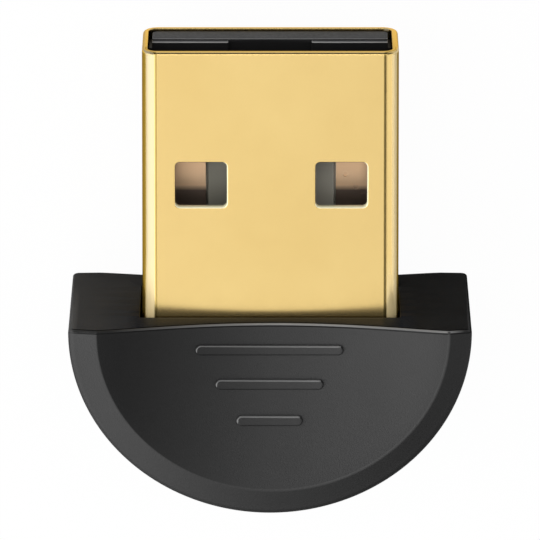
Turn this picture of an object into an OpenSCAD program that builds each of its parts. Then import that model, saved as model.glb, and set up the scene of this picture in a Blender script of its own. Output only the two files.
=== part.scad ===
// A short wireless adapter: a moulded half-round housing on a folded sheet plug.
// X runs across the plug, +Y out of its mouth and +Z out of the face with the ribs.
// The origin lies on the plug's axis, in the plane of the housing's shoulder.

/* [Plug shell] */
// Width of the folded shell
plug_w = 12; // [11.6:0.1:12.4]
// Thickness of the folded shell
plug_t = 4.5; // [4.3:0.05:4.7]
// Length of the shell that stands out of the housing
plug_l = 12.9; // [12.2:0.1:14]
// Offset of the windows and contacts from the plug's middle
shift_x = 0.05; // [0:0.01:0.1]
// Length of the shell inside the housing
plug_sunk = 3; // [2.4:0.1:3.4]
// Thickness of the sheet
sheet_t = 0.3; // [0.2:0.05:0.35]
// Outer radius of the shell's folds
fold_r = 0.64; // [0.5:0.02:0.8]
// Bevel coined round the mouth
coin = 0.16; // [0.05:0.01:0.16]
// Gap of the seam on the rear face
seam_gap = 0.04; // [0.04:0.01:0.12]
// Width of a latch window
window_w = 2.42; // [2:0.02:2.6]
// Length of a latch window along the plug
window_l = 2.16; // [1.6:0.01:2.4]
// Distance from the middle of the plug to the middle of a window
window_x = 3.28; // [3:0.01:3.6]
// Distance from the mouth to a window
window_in = 5.33; // [4.8:0.01:5.6]
// Corner radius of a window
window_r = 0.24; // [0.1:0.02:0.4]
// Length of a solder lug behind the shell
lug_l = 1.4; // [1:0.1:1.6]
// Height of a solder lug
lug_h = 1.1; // [0.8:0.1:1.4]

/* [Insulator] */
// Clearance between the insulator and the shell
core_gap = 0.03; // [0.02:0.01:0.06]
// Height of the cavity above the tongue
cavity_h = 2.06; // [1.95:0.01:2.1]
// Depth of the cavity behind the mouth
cavity_l = 9.4; // [8.8:0.1:10]
// Depth of the tongue's end behind the mouth
tongue_in = 0.1; // [0.05:0.05:0.4]
// Height of the lead-in at the tongue's end
lead_h = 0.28; // [0.15:0.01:0.32]
// Length of the lead-in at the tongue's end
lead_l = 0.12; // [0.08:0.01:0.3]
// Width of the notch in the middle of the tongue's end
notch_w = 3.92; // [3.4:0.02:4.2]
// Length of the notch
notch_l = 0.75; // [0.4:0.05:0.8]
// Relief at each end corner of the tongue
relief = 0.2; // [0.1:0.05:0.3]

/* [Contacts] */
// Width of an outer contact
outer_w = 1.5; // [1.2:0.05:1.6]
// Distance from the middle of the plug to an outer contact's inner edge
outer_x = 3.05; // [2.9:0.05:3.1]
// Width of an inner contact
inner_w = 1; // [0.8:0.05:1.1]
// Distance from the middle of the plug to the middle of an inner contact
inner_x = 1; // [0.95:0.01:1.15]
// Thickness of a contact
contact_t = 0.25; // [0.2:0.01:0.3]
// Height of a contact above the tongue
contact_up = 0.05; // [0.02:0.01:0.08]
// Gap on each side of a contact in its groove
groove_gap = 0.1; // [0.06:0.01:0.14]
// Distance from the mouth to a contact's tip
contact_in = 0.9; // [0.86:0.02:1.4]
// Distance from the mouth to the contact's bend
bend_in = 7.4; // [7:0.05:7.6]
// Length of the bend
bend_l = 1.1; // [0.8:0.1:1.3]
// Drop of the contact over its bend
bend_h = 0.35; // [0.3:0.01:0.4]
// Length of a contact's tail on the board
tail_l = 1.2; // [0.8:0.1:1.3]
// Diameter of a pit in the contact behind the right-hand window
pit_d = 0.26; // [0.16:0.02:0.3]
// Depth of a pit
pit_h = 0.08; // [0.04:0.01:0.12]

/* [Housing] */
// Width of the housing
body_w = 18.9; // [18:0.1:22]
// Length of the housing
body_l = 9.15; // [9:0.05:11]
// Thickness of the housing over its ridges
body_t = 9.1; // [8.8:0.1:11]
// Height of the front ridge above the plug's axis
front_t = 4.5; // [4.3:0.1:5]
// Width of the sloped band inside the outline
band_w = 1.25; // [0.9:0.05:1.5]
// Drop of the band from the ridge to the outline
band_drop = 0.25; // [0.1:0.01:0.4]
// Depth of the dish in the middle of the shoulder
dish_h = 1.22; // [0.6:0.02:1.3]
// Drop of the band on the rear face
back_drop = 0.04; // [0.02:0.01:0.4]
// Depth of the dish in the rear face
back_dish = 0.96; // [0.6:0.02:1.3]
// Rounding of the dishes' profile
dish_power = 1.3; // [1.1:0.05:1.5]
// Radius of the edge round the outline
edge_r = 0.32; // [0.3:0.01:0.45]
// Radius of the shoulder's front edge
shoulder_r = 0.22; // [0.15:0.01:0.28]
// Radius of the shoulder's rear edge
back_r = 0.12; // [0.08:0.01:0.28]
// Clearance between the shell and its slot
slot_gap = 0.12; // [0.05:0.01:0.15]
// Corner radius of the slot
slot_r = 0.1; // [0.05:0.01:0.6]
// Wall between the pocket's end and the outline
end_wall = 1.2; // [0.8:0.05:1.4]

/* [Ribs] */
// Length of the longest rib
rib_l = 6.85; // [6:0.05:7.2]
// Difference in length from one rib to the next
rib_step = 1.9; // [1.6:0.05:2]
// Width of a rib
rib_w = 0.47; // [0.35:0.01:0.6]
// Height of a rib above the dish
rib_h = 0.17; // [0.1:0.01:0.25]
// Distance from the shoulder to the middle of the first rib
rib_in = 1.22; // [0.9:0.01:1.4]
// Distance from one rib to the next
rib_pitch = 1.68; // [1.4:0.01:1.8]
// Number of ribs
rib_n = 3; // [1:1:3]

/* [Circuit board] */
// Thickness of the board
board_t = 0.6; // [0.5:0.05:0.7]
// Clearance between the board and the shell or the pocket
board_gap = 0.1; // [0.06:0.01:0.2]
// Side of the radio chip
chip_w = 4; // [3.5:0.1:4]
// Thickness of the radio chip
chip_t = 0.85; // [0.7:0.05:0.9]

/* [Hidden] */

over = 1;                   // how far a cutter runs past what it cuts
arc_n = 10;                 // steps in a rounded corner
turn_n = 56;                // steps round the half outline
dish_n = 9;                 // rings in a dish
fillet_n = 3;               // steps in a rounded edge
rib_steps = 12;             // stations along a rib's straight run
rib_ends = 4;               // stations in a rib's round end
rib_turn = 80;              // angle that a rib's end turns through
rib_edge = 0.1;             // radius of a rib's upper edge
rib_root = 0.3;             // depth of a rib's root in the wall

bore_w = plug_w - 2 * sheet_t;
bore_t = plug_t - 2 * sheet_t;
bore_r = fold_r - sheet_t;
core_w = bore_w - 2 * core_gap;
core_t = bore_t - 2 * core_gap;
tongue_z = bore_t / 2 - cavity_h;
tip_y = plug_l - tongue_in;
block_y = plug_l - cavity_l;
block_in = 0.7;             // how far inside the shell the block ends
block_back = -plug_sunk + block_in;

contact_z = tongue_z + contact_up;
tail_z = contact_z - bend_h;
board_z = tail_z - contact_t;
board_y = block_back - core_gap;
tail_y = block_back - tail_l;
outer_mid = outer_x + outer_w / 2;

bend_y = plug_l - bend_in;
contact_tip = plug_l - contact_in;
nose_h = 0.1;               // turned-down nose of a contact
nose_l = 0.3;
bend_n = 8;                 // steps in a contact's bend
pits = [[-0.3, 6.6], [0.19, 7.22], [0.49, 7.47]]; // from the contact's middle, and in from the mouth

key_w = 0.8;                // the seam's dovetail keys
key_l = 1.4;
key_flare = 0.25;
key_places = [plug_l * 0.3, plug_l * 0.72];

board_w = bore_w - 2 * board_gap;
lug_end = -plug_sunk - lug_l;
lug_z = board_z - board_t / 2;
solder_l = 0.35;            // reach and height of the solder
solder_h = 0.22;
solder_in = 0.15;           // lug left bare before and behind its solder
cap_up = 0.02;              // how far a metal end stands out of its ceramic body
capacitor_size = [1, 0.5, 0.5];
resistor_size = [1, 0.5, 0.35];
small_cap = 0.25;           // length of a small part's metal end
inductor_size = [1.6, 0.8, 0.8];
inductor_cap = 0.3;
antenna_size = [3.2, 1.2, 0.6];
antenna_cap = 0.4;
crystal_base = [3.2, 2.5, 0.45];
crystal_lid = [2.9, 2.2, 0.25];
regulator_size = [2.9, 1.3, 1];
regulator_up = 0.1;         // gap under the regulator's body
lead_w = 0.4;               // its bent leads
lead_t = 0.14;
lead_x = 0.95;
lead_root = 0.6;
lead_top = 0.65;
lead_knee = 0.9;
lead_foot = 1.2;
lead_slope = 0.05;
leg_t = 0.12;
mark_d = 0.4;               // dimple that marks the chip's first contact
mark_h = 0.06;
mark_share = 0.375;         // its place, as a share of the chip's side
side_x = 2.9;               // rows of small parts beside the radio chip
row_in = 0.2;
row_l = 0.8;
chip_lead = 0.5;            // how far the chip starts ahead of those rows
inductor_at = [3.2, 2.75];  // places on the board, from the contacts' tails
crystal_at = [2.9, 1.65];
antenna_at = [-0.6, 3.45];
regulator_at = [-3.1, 1.65];
column_x = -0.3;            // column of small parts between crystal and regulator

half_w = body_w / 2;
half_l = body_l - shoulder_r;
ridge_w = half_w - band_w;
ridge_l = half_l - band_w;

// The parts on the board follow its room behind the contacts and the housing's width
room_w = 8.25;              // sizes of the room that the parts are drawn for
room_l = 4.35;
board_end = -shoulder_r - (half_l - end_wall - board_gap);
fit_x = (half_w - end_wall) / room_w;
fit_y = (tail_y - board_end) / room_l;
function fitted(size) = [size.x * fit_x, size.y * fit_y, size.z];

// A point on an ellipse at angle a
function on_ellipse(rx, ry, a) = [rx * cos(a), ry * sin(a)];

// Corner points of a rounded rectangle centred on the origin
function rounded(w, l, r) = [
  for (q = [0 : 3], k = [0 : arc_n])
    let (a = 90 * (q + k / arc_n), sx = (q == 0 || q == 3) ? 1 : -1, sy = q < 2 ? 1 : -1)
    [sx * (w / 2 - r) + r * cos(a), sy * (l / 2 - r) + r * sin(a)]
];

// A rounded bar along Y
module bar(w, t, r, y0, y1) {
  translate([0, y1, 0])
    rotate([90, 0, 0])
      linear_extrude(y1 - y0)
        polygon(rounded(w, t, r));
}

// A rounded bar along Y, drawn in by an inset at each station [y, inset]
module lofted_bar(w, t, r, stations) {
  rings = [
    for (s = stations)
      [for (p = rounded(w - 2 * s[1], t - 2 * s[1], r - s[1])) [p.x, s[0], p.y]]
  ];
  n = len(rings[0]);
  last = len(rings) - 1;
  function at(i, k) = i * n + k % n;
  polyhedron(
    points = [for (ring = rings, p = ring) p],
    faces = concat(
      [[for (k = [n - 1 : -1 : 0]) at(0, k)], [for (k = [0 : n - 1]) at(last, k)]],
      [for (i = [0 : last - 1], k = [0 : n - 1]) [at(i, k), at(i, k + 1), at(i + 1, k)]],
      [for (i = [0 : last - 1], k = [0 : n - 1]) [at(i, k + 1), at(i + 1, k + 1), at(i + 1, k)]]
    )
  );
}

// A box between two corners
module span(low, high) {
  translate(low)
    cube(high - low);
}

// Side profile in Y and Z, run across X and centred on x
module across(x, w, points) {
  translate([x - w / 2, 0, 0])
    rotate([90, 0, 90])
      linear_extrude(w)
        polygon(points);
}

// The half outline of the housing, drawn in by an inset, down to its straight edge
module outline(inset) {
  polygon([
    [half_w - inset, over],
    for (k = [0 : turn_n])
      on_ellipse(half_w - inset, half_l - inset, -180 * k / turn_n) - [0, shoulder_r],
    [inset - half_w, over]
  ]);
}

// Depth of a dish that is h deep, at a share s of the way from its middle to the ridge
function dish_depth(s, h) = s < 1 ? h * pow(1 - s * s, dish_power) : 0;
// Height of the front face at a point inside the ridge
function dish_z(x, y) =
  front_t - dish_depth(norm([x / ridge_w, (y + shoulder_r) / ridge_l]), dish_h);

// Half of the housing's section, from the middle of the dish to the side wall: the half axes
// of each ring and its height, for the ridge's height, the dish's depth and the band's drop
function half_section(t, h, drop) = [
  for (k = [0 : dish_n])
    let (s = sin(90 * k / dish_n))
    [ridge_w * s, ridge_l * s, t - dish_depth(s, h)],
  for (k = [0 : fillet_n])
    let (a = 90 * k / fillet_n, out = edge_r * (1 - sin(a)), down = edge_r * (1 - cos(a)))
    [half_w - out, half_l - out, t - drop - down]
];
front = half_section(front_t, dish_h, band_drop);
back = half_section(body_t - front_t, back_dish, back_drop);
half_n = len(front);
section = concat(front, [for (k = [half_n - 1 : -1 : 0]) [back[k].x, back[k].y, -back[k].z]]);
ring_n = 2 * half_n;
// Radius of the shoulder's edge at a ring
function end_r(k) = k < half_n ? shoulder_r : back_r;

// The section's closed loop in the shoulder plane, and its outward normal in X and Z
loop_n = 2 * ring_n - 2;
function loop_side(i) = i < ring_n ? 1 : -1;
function loop_ring(i) = i < ring_n ? i : loop_n - i;
function loop_point(i) =
  let (j = (i + loop_n) % loop_n, s = section[loop_ring(j)])
  [loop_side(j) * s.x, s.z];
function loop_normal(i) =
  let (d = loop_point(i + 1) - loop_point(i - 1))
  [-d.y, d.x] / norm(d);

// The moulding without its pocket: rings turned round the half outline, then the shoulder's
// rounded edge and its flat, which joins each point of the front to the one behind it
module moulded_body() {
  body = [
    for (j = [0 : turn_n], k = [0 : ring_n - 1])
      let (s = section[k], p = on_ellipse(s.x, s.y, -180 * j / turn_n))
      [p.x, p.y - end_r(k), s.z]
  ];
  edge = [
    for (f = [1 : fillet_n], i = [0 : loop_n - 1])
      let (
        a = 90 * f / fillet_n,
        r = end_r(loop_ring(i)),
        p = loop_point(i) - loop_normal(i) * r * (1 - cos(a))
      )
      [p.x, -r * (1 - sin(a)), p.y]
  ];
  function at(j, k) = (k == 0 || k == ring_n - 1) ? k : j * ring_n + k;
  function around(i) = i < ring_n ? at(0, i) : at(turn_n, loop_n - i);
  function rim(f, i) = f == 0 ? around(i % loop_n) : len(body) + (f - 1) * loop_n + i % loop_n;
  function flat(side, k) = rim(fillet_n, side > 0 ? k : loop_n - k);
  polyhedron(
    points = concat(body, edge),
    faces = concat(
      [for (j = [0 : turn_n - 1], k = [1 : ring_n - 2]) [at(j, k), at(j, k + 1), at(j + 1, k)]],
      [for (j = [0 : turn_n - 1], k = [0 : ring_n - 3])
        [at(j + 1, k), at(j, k + 1), at(j + 1, k + 1)]],
      [for (f = [0 : fillet_n - 1], i = [0 : loop_n - 1]) [rim(f, i), rim(f + 1, i), rim(f, i + 1)]],
      [for (f = [0 : fillet_n - 1], i = [0 : loop_n - 1])
        [rim(f, i + 1), rim(f + 1, i), rim(f + 1, i + 1)]],
      [for (side = [1, -1], k = [0 : half_n - 2])
        let (a = flat(side, k), b = flat(side, k + 1), c = flat(side, ring_n - 2 - k))
        side > 0 ? [a, c, b] : [a, b, c]],
      [for (side = [1, -1], k = [0 : half_n - 2])
        let (a = flat(side, k), c = flat(side, ring_n - 2 - k), d = flat(side, ring_n - 1 - k))
        side > 0 ? [a, d, c] : [a, c, d]]
    )
  );
}

// A raised bar with round ends and a rounded upper edge, which follows the dish
module rib(l, y) {
  end_x = l / 2 - rib_w / 2;
  ends = [
    for (k = [0 : rib_ends])
      let (a = rib_turn * k / rib_ends)
      [sin(a), cos(a)] * rib_w / 2
  ];
  stations = concat(
    [for (k = [rib_ends : -1 : 1]) [-end_x - ends[k].x, ends[k].y]],
    [for (k = [0 : rib_steps]) [end_x * (2 * k / rib_steps - 1), rib_w / 2]],
    [for (k = [1 : rib_ends]) [end_x + ends[k].x, ends[k].y]]
  );
  sides = [
    for (s = stations)
      let (
        r = min(rib_edge, s.y),
        d = min(rib_edge, l / 2 - abs(s.x)),
        top = rib_h - rib_edge + sqrt(rib_edge ^ 2 - (rib_edge - d) ^ 2),
        low = top - r,
        arc = [for (k = [0 : fillet_n]) let (a = 90 * k / fillet_n) [1 - cos(a), sin(a)] * r],
        profile = concat(
          [[-s.y, -rib_root]],
          [for (p = arc) [p.x - s.y, low + p.y]],
          [for (k = [fillet_n : -1 : 0]) [s.y - arc[k].x, low + arc[k].y]],
          [[s.y, -rib_root]]
        )
      )
      [for (p = profile) [s.x, y + p.x, dish_z(s.x, y + p.x) + p.y]]
  ];
  n = len(sides[0]);
  last = len(sides) - 1;
  function at(i, k) = i * n + k % n;
  polyhedron(
    points = [for (side = sides, p = side) p],
    faces = concat(
      [[for (k = [n - 1 : -1 : 0]) at(0, k)], [for (k = [0 : n - 1]) at(last, k)]],
      [for (i = [0 : last - 1], k = [0 : n - 1]) [at(i, k), at(i, k + 1), at(i + 1, k)]],
      [for (i = [0 : last - 1], k = [0 : n - 1]) [at(i, k + 1), at(i + 1, k + 1), at(i + 1, k)]]
    )
  );
}

module pocket() {
  intersection() {
    bar(plug_w + 2 * slot_gap, plug_t + 2 * slot_gap, slot_r, -body_l, over);
    linear_extrude(body_t, center = true)
      outline(end_wall);
  }
}

module housing() {
  color("#2c2c2d")
    difference() {
      union() {
        moulded_body();
        for (k = [0 : rib_n - 1])
          rib(rib_l - k * rib_step, -rib_in - k * rib_pitch);
      }
      pocket();
    }
}

// A latch window through the front wall, right of the middle
module window() {
  translate([window_x, plug_l - window_in - window_l / 2, plug_t / 2 - sheet_t])
    linear_extrude(4 * sheet_t, center = true)
      polygon(rounded(window_w, window_l, window_r));
}

// The slit where the folded sheet closes on the rear face, with dovetail keys
module seam() {
  path = [
    [0, -plug_sunk - over],
    for (m = key_places) each [
      [0, m - key_l / 2], [key_w, m - key_l / 2 - key_flare],
      [key_w, m + key_l / 2 + key_flare], [0, m + key_l / 2]
    ],
    [0, plug_l + over]
  ];
  for (k = [1 : len(path) - 1])
    let (run = path[k] - path[k - 1])
    translate([path[k - 1].x, path[k - 1].y, -plug_t / 2 - over])
      rotate([0, 0, atan2(run.y, run.x)])
        translate([-seam_gap / 2, -seam_gap / 2, 0])
          cube([norm(run) + seam_gap, seam_gap, over + sheet_t + bore_r]);
}

module plug_shell() {
  mouth = [for (k = [0 : fillet_n]) let (a = 90 * k / fillet_n)
    [plug_l - coin * (1 - sin(a)), coin * (1 - cos(a))]];
  color("#d9b865")
    difference() {
      union() {
        difference() {
          lofted_bar(plug_w, plug_t, fold_r, concat([[-plug_sunk, 0]], mouth));
          bar(bore_w, bore_t, bore_r, -plug_sunk - over, plug_l + over);
        }
        for (side = [0, 1])
          mirror([side, 0, 0])
            span(
              [bore_w / 2, lug_end, lug_z - lug_h / 2],
              [plug_w / 2, -plug_sunk + sheet_t, lug_z + lug_h / 2]
            );
      }
      translate([shift_x, 0, 0])
        for (side = [0, 1], face = [0, 1])
          mirror([side, 0, 0])
            mirror([0, 0, face])
              window();
      seam();
    }
}

// The upper line of a contact, from its tip back to its tail, moved down by a drop
function contact_line(drop) = [
  [contact_tip, contact_z - max(drop, nose_h)],
  if (drop == 0) [contact_tip - nose_l, contact_z],
  for (k = [0 : bend_n])
    let (u = k / bend_n)
    [bend_y - bend_l * u, contact_z - drop - bend_h * (1 - cos(180 * u)) / 2],
  [tail_y, tail_z - drop]
];
contact_profile = let (low = contact_line(contact_t))
  concat(contact_line(0), [for (k = [len(low) - 1 : -1 : 0]) low[k]]);

// The open groove that a contact lies in, in front of the block
groove_profile = concat(
  [[contact_tip + groove_gap, tongue_z + over], [contact_tip + groove_gap, contact_z - contact_t]],
  [for (p = contact_line(contact_t)) if (p.x < contact_tip && p.x > block_y) p],
  [[block_y, tail_z - contact_t], [block_y, tongue_z + over]]
);

module contact(x, w) {
  color("#c09a72")
    across(x + shift_x, w, contact_profile);
}

module plug_insulator() {
  color("#303032")
    difference() {
      intersection() {
        bar(core_w, core_t, bore_r, block_back, tip_y);
        union() {
          span([-core_w, block_back - over, -core_t], [core_w, block_y, core_t]);
          span([-core_w, block_back - over, -core_t], [core_w, plug_l, tongue_z]);
        }
      }
      for (c = [[outer_mid, outer_w], [inner_x, inner_w]], side = [-1, 1]) {
        across(side * c[0] + shift_x, c[1], contact_profile);
        across(side * c[0] + shift_x, c[1] + 2 * groove_gap, groove_profile);
      }
      across(0, 2 * plug_w, [
        [tip_y - lead_l, tongue_z], [tip_y, tongue_z - lead_h], [tip_y + over, tongue_z - lead_h],
        [tip_y + over, tongue_z + over], [tip_y - lead_l, tongue_z + over]
      ]);
      span([-notch_w / 2, tip_y - notch_l, tongue_z - lead_h], [notch_w / 2, plug_l, tongue_z + over]);
      for (side = [0, 1])
        mirror([side, 0, 0])
          span([core_w / 2 - relief, tip_y - relief, -plug_t], [core_w, plug_l, plug_t]);
    }
}

module contact_supply() {
  difference() {
    contact(outer_mid, outer_w);
    for (p = pits)
      color("#2d2219")
        translate([outer_mid + shift_x + p.x, plug_l - p.y, contact_z - pit_h])
          cylinder(h = over, d = pit_d, $fn = 24);
  }
}
module contact_data_minus() { contact(inner_x, inner_w); }
module contact_data_plus() { contact(-inner_x, inner_w); }
module contact_ground() { contact(-outer_mid, outer_w); }

module circuit_board() {
  color("#1d5a34")
    intersection() {
      span([-board_w / 2, -body_l, board_z - board_t], [board_w / 2, board_y, board_z]);
      linear_extrude(body_t, center = true)
        outline(end_wall + board_gap);
    }
}

// Places its children on the board's front face, or on its rear face with their top down
module on_front(x, y) {
  translate([x * fit_x, tail_y - y * fit_y, board_z])
    children();
}
module on_rear(x, y) {
  translate([x * fit_x, tail_y - y * fit_y, board_z - board_t])
    mirror([0, 0, 1])
      children();
}

// A box of a part's own size, fitted to the board, that stands on its middle at height z
module block(size, z = 0) {
  translate([0, 0, z + size.z / 2])
    cube(fitted(size), center = true);
}

// A ceramic body with a metal cap on each end
module capped(size, cap_l, body_colour) {
  color(body_colour)
    block(size - [0, 2 * cap_up, cap_up]);
  color("silver")
    for (side = [-1, 1])
      translate([side * fit_x * (size.x - cap_l) / 2, 0, 0])
        block([cap_l, size.y, size.z]);
}
module capacitor() { capped(capacitor_size, small_cap, "#b08a5c"); }
module resistor() { capped(resistor_size, small_cap, "#202020"); }

module radio_chip() {
  on_rear(0, row_in + chip_w / 2 - chip_lead)
    color("#262626")
      difference() {
        block([chip_w, chip_w, chip_t]);
        translate(fitted([chip_w * mark_share, chip_w * mark_share, chip_t - mark_h]))
          cylinder(h = over, d = mark_d, $fn = 24);
      }
}
module crystal() {
  on_front(crystal_at.x, crystal_at.y)
    color("silver") {
      block(crystal_base);
      block(crystal_lid, crystal_base.z);
    }
}
module chip_antenna() {
  on_front(antenna_at.x, antenna_at.y)
    capped(antenna_size, antenna_cap, "#d8d2c0");
}
// The side of a bent lead: out of the body, down its leg and along its foot
lead_profile = [
  [lead_root, lead_top], [lead_knee, lead_top], [lead_knee + lead_slope, lead_t],
  [lead_foot, lead_t], [lead_foot, 0], [lead_knee + lead_slope - leg_t, 0],
  [lead_knee - leg_t, lead_top - lead_t], [lead_root, lead_top - lead_t]
];
module regulator() {
  on_front(regulator_at.x, regulator_at.y) {
    color("#262626")
      block(regulator_size, regulator_up);
    color("silver")
      for (lead = [[-lead_x, 1], [lead_x, 1], [0, -1]])
        across(lead[0] * fit_x, lead_w * fit_x, [for (p = lead_profile) [lead[1] * fit_y * p.x, p.y]]);
  }
}
module capacitor_1() { on_front(column_x, row_l) capacitor(); }
module capacitor_2() { on_front(column_x, 2 * row_l) capacitor(); }
module resistor_1() { on_front(column_x, 3 * row_l) resistor(); }
module capacitor_3() { on_rear(side_x, row_in) capacitor(); }
module capacitor_4() { on_rear(side_x, row_in + row_l) capacitor(); }
module capacitor_5() { on_rear(side_x, row_in + 2 * row_l) capacitor(); }
module capacitor_6() { on_rear(-side_x, row_in) capacitor(); }
module resistor_2() { on_rear(-side_x, row_in + row_l) resistor(); }
module resistor_3() { on_rear(-side_x, row_in + 2 * row_l) resistor(); }
module inductor() {
  on_rear(inductor_at.x, inductor_at.y)
    capped(inductor_size, inductor_cap, "#4a4a4e");
}

// A fillet of solder, hollow in section, of height h and length l, run along w
function solder_profile(l, h) = concat(
  [[0, 0]],
  [for (k = [0 : arc_n]) let (a = 90 * k / arc_n) [l * (1 - sin(a)), h * (1 - cos(a))]]
);
module contact_solder() {
  color("silver")
    for (c = [[outer_mid, outer_w], [inner_x, inner_w]], side = [-1, 1])
      translate([shift_x, tail_y, board_z])
        across(side * c[0], c[1], [for (p = solder_profile(solder_l, contact_t)) [-p.x, p.y]]);
}
module shell_solder() {
  color("silver")
    for (side = [0, 1])
      mirror([side, 0, 0])
        translate([bore_w / 2, -plug_sunk - solder_in, board_z])
          rotate([90, 0, 0])
            linear_extrude(lug_l - 2 * solder_in)
              polygon([for (p = solder_profile(solder_l, solder_h)) [-p.x, p.y]]);
}

housing();
plug_shell();
plug_insulator();
contact_supply();
contact_data_minus();
contact_data_plus();
contact_ground();
circuit_board();
radio_chip();
crystal();
chip_antenna();
regulator();
capacitor_1();
capacitor_2();
capacitor_3();
capacitor_4();
capacitor_5();
capacitor_6();
resistor_1();
resistor_2();
resistor_3();
inductor();
contact_solder();
shell_solder();
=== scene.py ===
"""Looks of a short wireless adapter: its plastic housing, folded sheet plug and the parts inside.

Lengths in the shape code are millimetres and are turned into metres when a mesh is made.
X runs across the plug, +Y out of its mouth, +Z out of the face with the ribs.
"""

import math

import bmesh
import bpy
from mathutils import Matrix, Vector


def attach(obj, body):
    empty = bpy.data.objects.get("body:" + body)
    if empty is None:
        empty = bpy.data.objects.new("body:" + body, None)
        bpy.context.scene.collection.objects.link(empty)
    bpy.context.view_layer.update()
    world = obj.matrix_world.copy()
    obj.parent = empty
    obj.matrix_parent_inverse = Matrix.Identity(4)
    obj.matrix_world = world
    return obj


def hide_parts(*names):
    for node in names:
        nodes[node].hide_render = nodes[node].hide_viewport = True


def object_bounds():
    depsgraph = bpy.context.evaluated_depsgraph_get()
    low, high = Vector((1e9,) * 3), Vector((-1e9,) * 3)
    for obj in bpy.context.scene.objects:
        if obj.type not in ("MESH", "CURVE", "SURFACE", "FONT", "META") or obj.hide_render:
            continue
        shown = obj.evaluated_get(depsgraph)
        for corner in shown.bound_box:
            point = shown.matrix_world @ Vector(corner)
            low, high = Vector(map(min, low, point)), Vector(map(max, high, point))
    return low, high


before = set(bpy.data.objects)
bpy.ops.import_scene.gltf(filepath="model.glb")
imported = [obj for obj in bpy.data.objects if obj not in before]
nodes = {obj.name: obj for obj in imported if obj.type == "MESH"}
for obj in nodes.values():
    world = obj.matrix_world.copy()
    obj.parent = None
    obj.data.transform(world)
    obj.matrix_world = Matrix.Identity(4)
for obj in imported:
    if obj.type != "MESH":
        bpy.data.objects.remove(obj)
cad_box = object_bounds()
MM = 0.001

# Sizes shared with the solids
PLUG_W, PLUG_T, PLUG_L, PLUG_SUNK = 12.0, 4.5, 12.9, 3.0
SHEET_T, FOLD_R, COIN, SHIFT_X = 0.3, 0.74, 0.16, 0.05
WINDOW_W, WINDOW_L, WINDOW_X, WINDOW_IN, WINDOW_R = 2.42, 2.16, 3.28, 5.33, 0.24
SEAM_GAP, KEY_W, KEY_L, KEY_FLARE = 0.015, 0.8, 1.4, 0.25
LUG_L, LUG_H, LUG_Z = 1.4, 1.1, -0.96
HALF_W, BODY_L, FRONT_T, BACK_T = 9.45, 9.15, 4.5, 4.6
BAND_W, BAND_DROP, DISH_H, BACK_DROP, BACK_DISH, DISH_POWER = 1.25, 0.16, 1.22, 0.04, 0.96, 1.3
EDGE_R, SHOULDER_R, BACK_R, SLOT_GAP, SLOT_R, END_WALL = 0.32, 0.22, 0.12, 0.12, 0.1, 1.2
RIBS, RIB_W, RIB_H = ((6.92, -1.22), (5.06, -2.9), (3.1, -4.62)), 0.47, 0.17
RIB_X, RIB_BOW = -0.02, 0.32
HALF_L = BODY_L - SHOULDER_R
RIDGE_W, RIDGE_L = HALF_W - BAND_W, HALF_L - BAND_W
FRONT_RIDGE_W, RIDGE_X = RIDGE_W + 0.06, 0.12


def new_object(name, mesh):
    piece = bpy.data.objects.new(name, mesh)
    bpy.context.scene.collection.objects.link(piece)
    return piece


def mesh_object(name, points, faces):
    """An object from points in millimetres, with its normals made to face out."""
    mesh = bpy.data.meshes.new(name)
    mesh.from_pydata([(x * MM, y * MM, z * MM) for x, y, z in points], [], faces)
    bm = bmesh.new()
    bm.from_mesh(mesh)
    bmesh.ops.remove_doubles(bm, verts=bm.verts, dist=1e-8)
    bmesh.ops.recalc_face_normals(bm, faces=bm.faces)
    bm.to_mesh(mesh)
    bm.free()
    return new_object(name, mesh)


def evaluated(piece):
    """Applies the modifiers of a piece to its own mesh."""
    mesh = bpy.data.meshes.new_from_object(piece.evaluated_get(bpy.context.evaluated_depsgraph_get()))
    piece.modifiers.clear()
    piece.data = mesh


def cut(piece, cutters):
    """Takes the cutters out of a piece and removes them."""
    for cutter in cutters:
        step = piece.modifiers.new("cut", "BOOLEAN")
        step.operation = "DIFFERENCE"
        step.solver = "EXACT"
        step.object = cutter
    evaluated(piece)
    for cutter in cutters:
        bpy.data.objects.remove(cutter)


def smooth(piece, angle):
    """Shades faces smooth and keeps edges above the angle sharp."""
    mesh = piece.data
    mesh.polygons.foreach_set("use_smooth", [True] * len(mesh.polygons))
    mesh.set_sharp_from_angle(angle=math.radians(angle))


def soften(piece, width, segments=3, angle=30):
    """Rounds the sharp edges of a piece and weights its normals by face area."""
    step = piece.modifiers.new("round", "BEVEL")
    step.width = width * MM
    step.segments = segments
    step.limit_method = "ANGLE"
    step.angle_limit = math.radians(angle)
    step.use_clamp_overlap = True
    step.miter_outer = "MITER_ARC"
    evaluated(piece)
    finish_normals(piece, 80)


def finish_normals(piece, share):
    """Smooth shading with normals weighted by face area."""
    piece.modifiers.clear()
    smooth(piece, 60)
    weight = piece.modifiers.new("weight", "WEIGHTED_NORMAL")
    weight.keep_sharp = True
    weight.weight = share


def rounded(w, l, r, steps, run=1):
    """A rounded rectangle as a list of points, its straight sides split in runs."""
    arcs = []
    for q, (sx, sy) in enumerate(((1, 1), (-1, 1), (-1, -1), (1, -1))):
        centre = (sx * (w / 2 - r), sy * (l / 2 - r))
        arcs.append([
            (centre[0] + r * math.cos(math.pi / 2 * (q + k / steps)),
             centre[1] + r * math.sin(math.pi / 2 * (q + k / steps)))
            for k in range(steps + 1)
        ])
    points = []
    for q, arc in enumerate(arcs):
        points += arc
        a, b = arc[-1], arcs[(q + 1) % 4][0]
        points += [(a[0] + (b[0] - a[0]) * k / run, a[1] + (b[1] - a[1]) * k / run) for k in range(1, run)]
    return points


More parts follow.
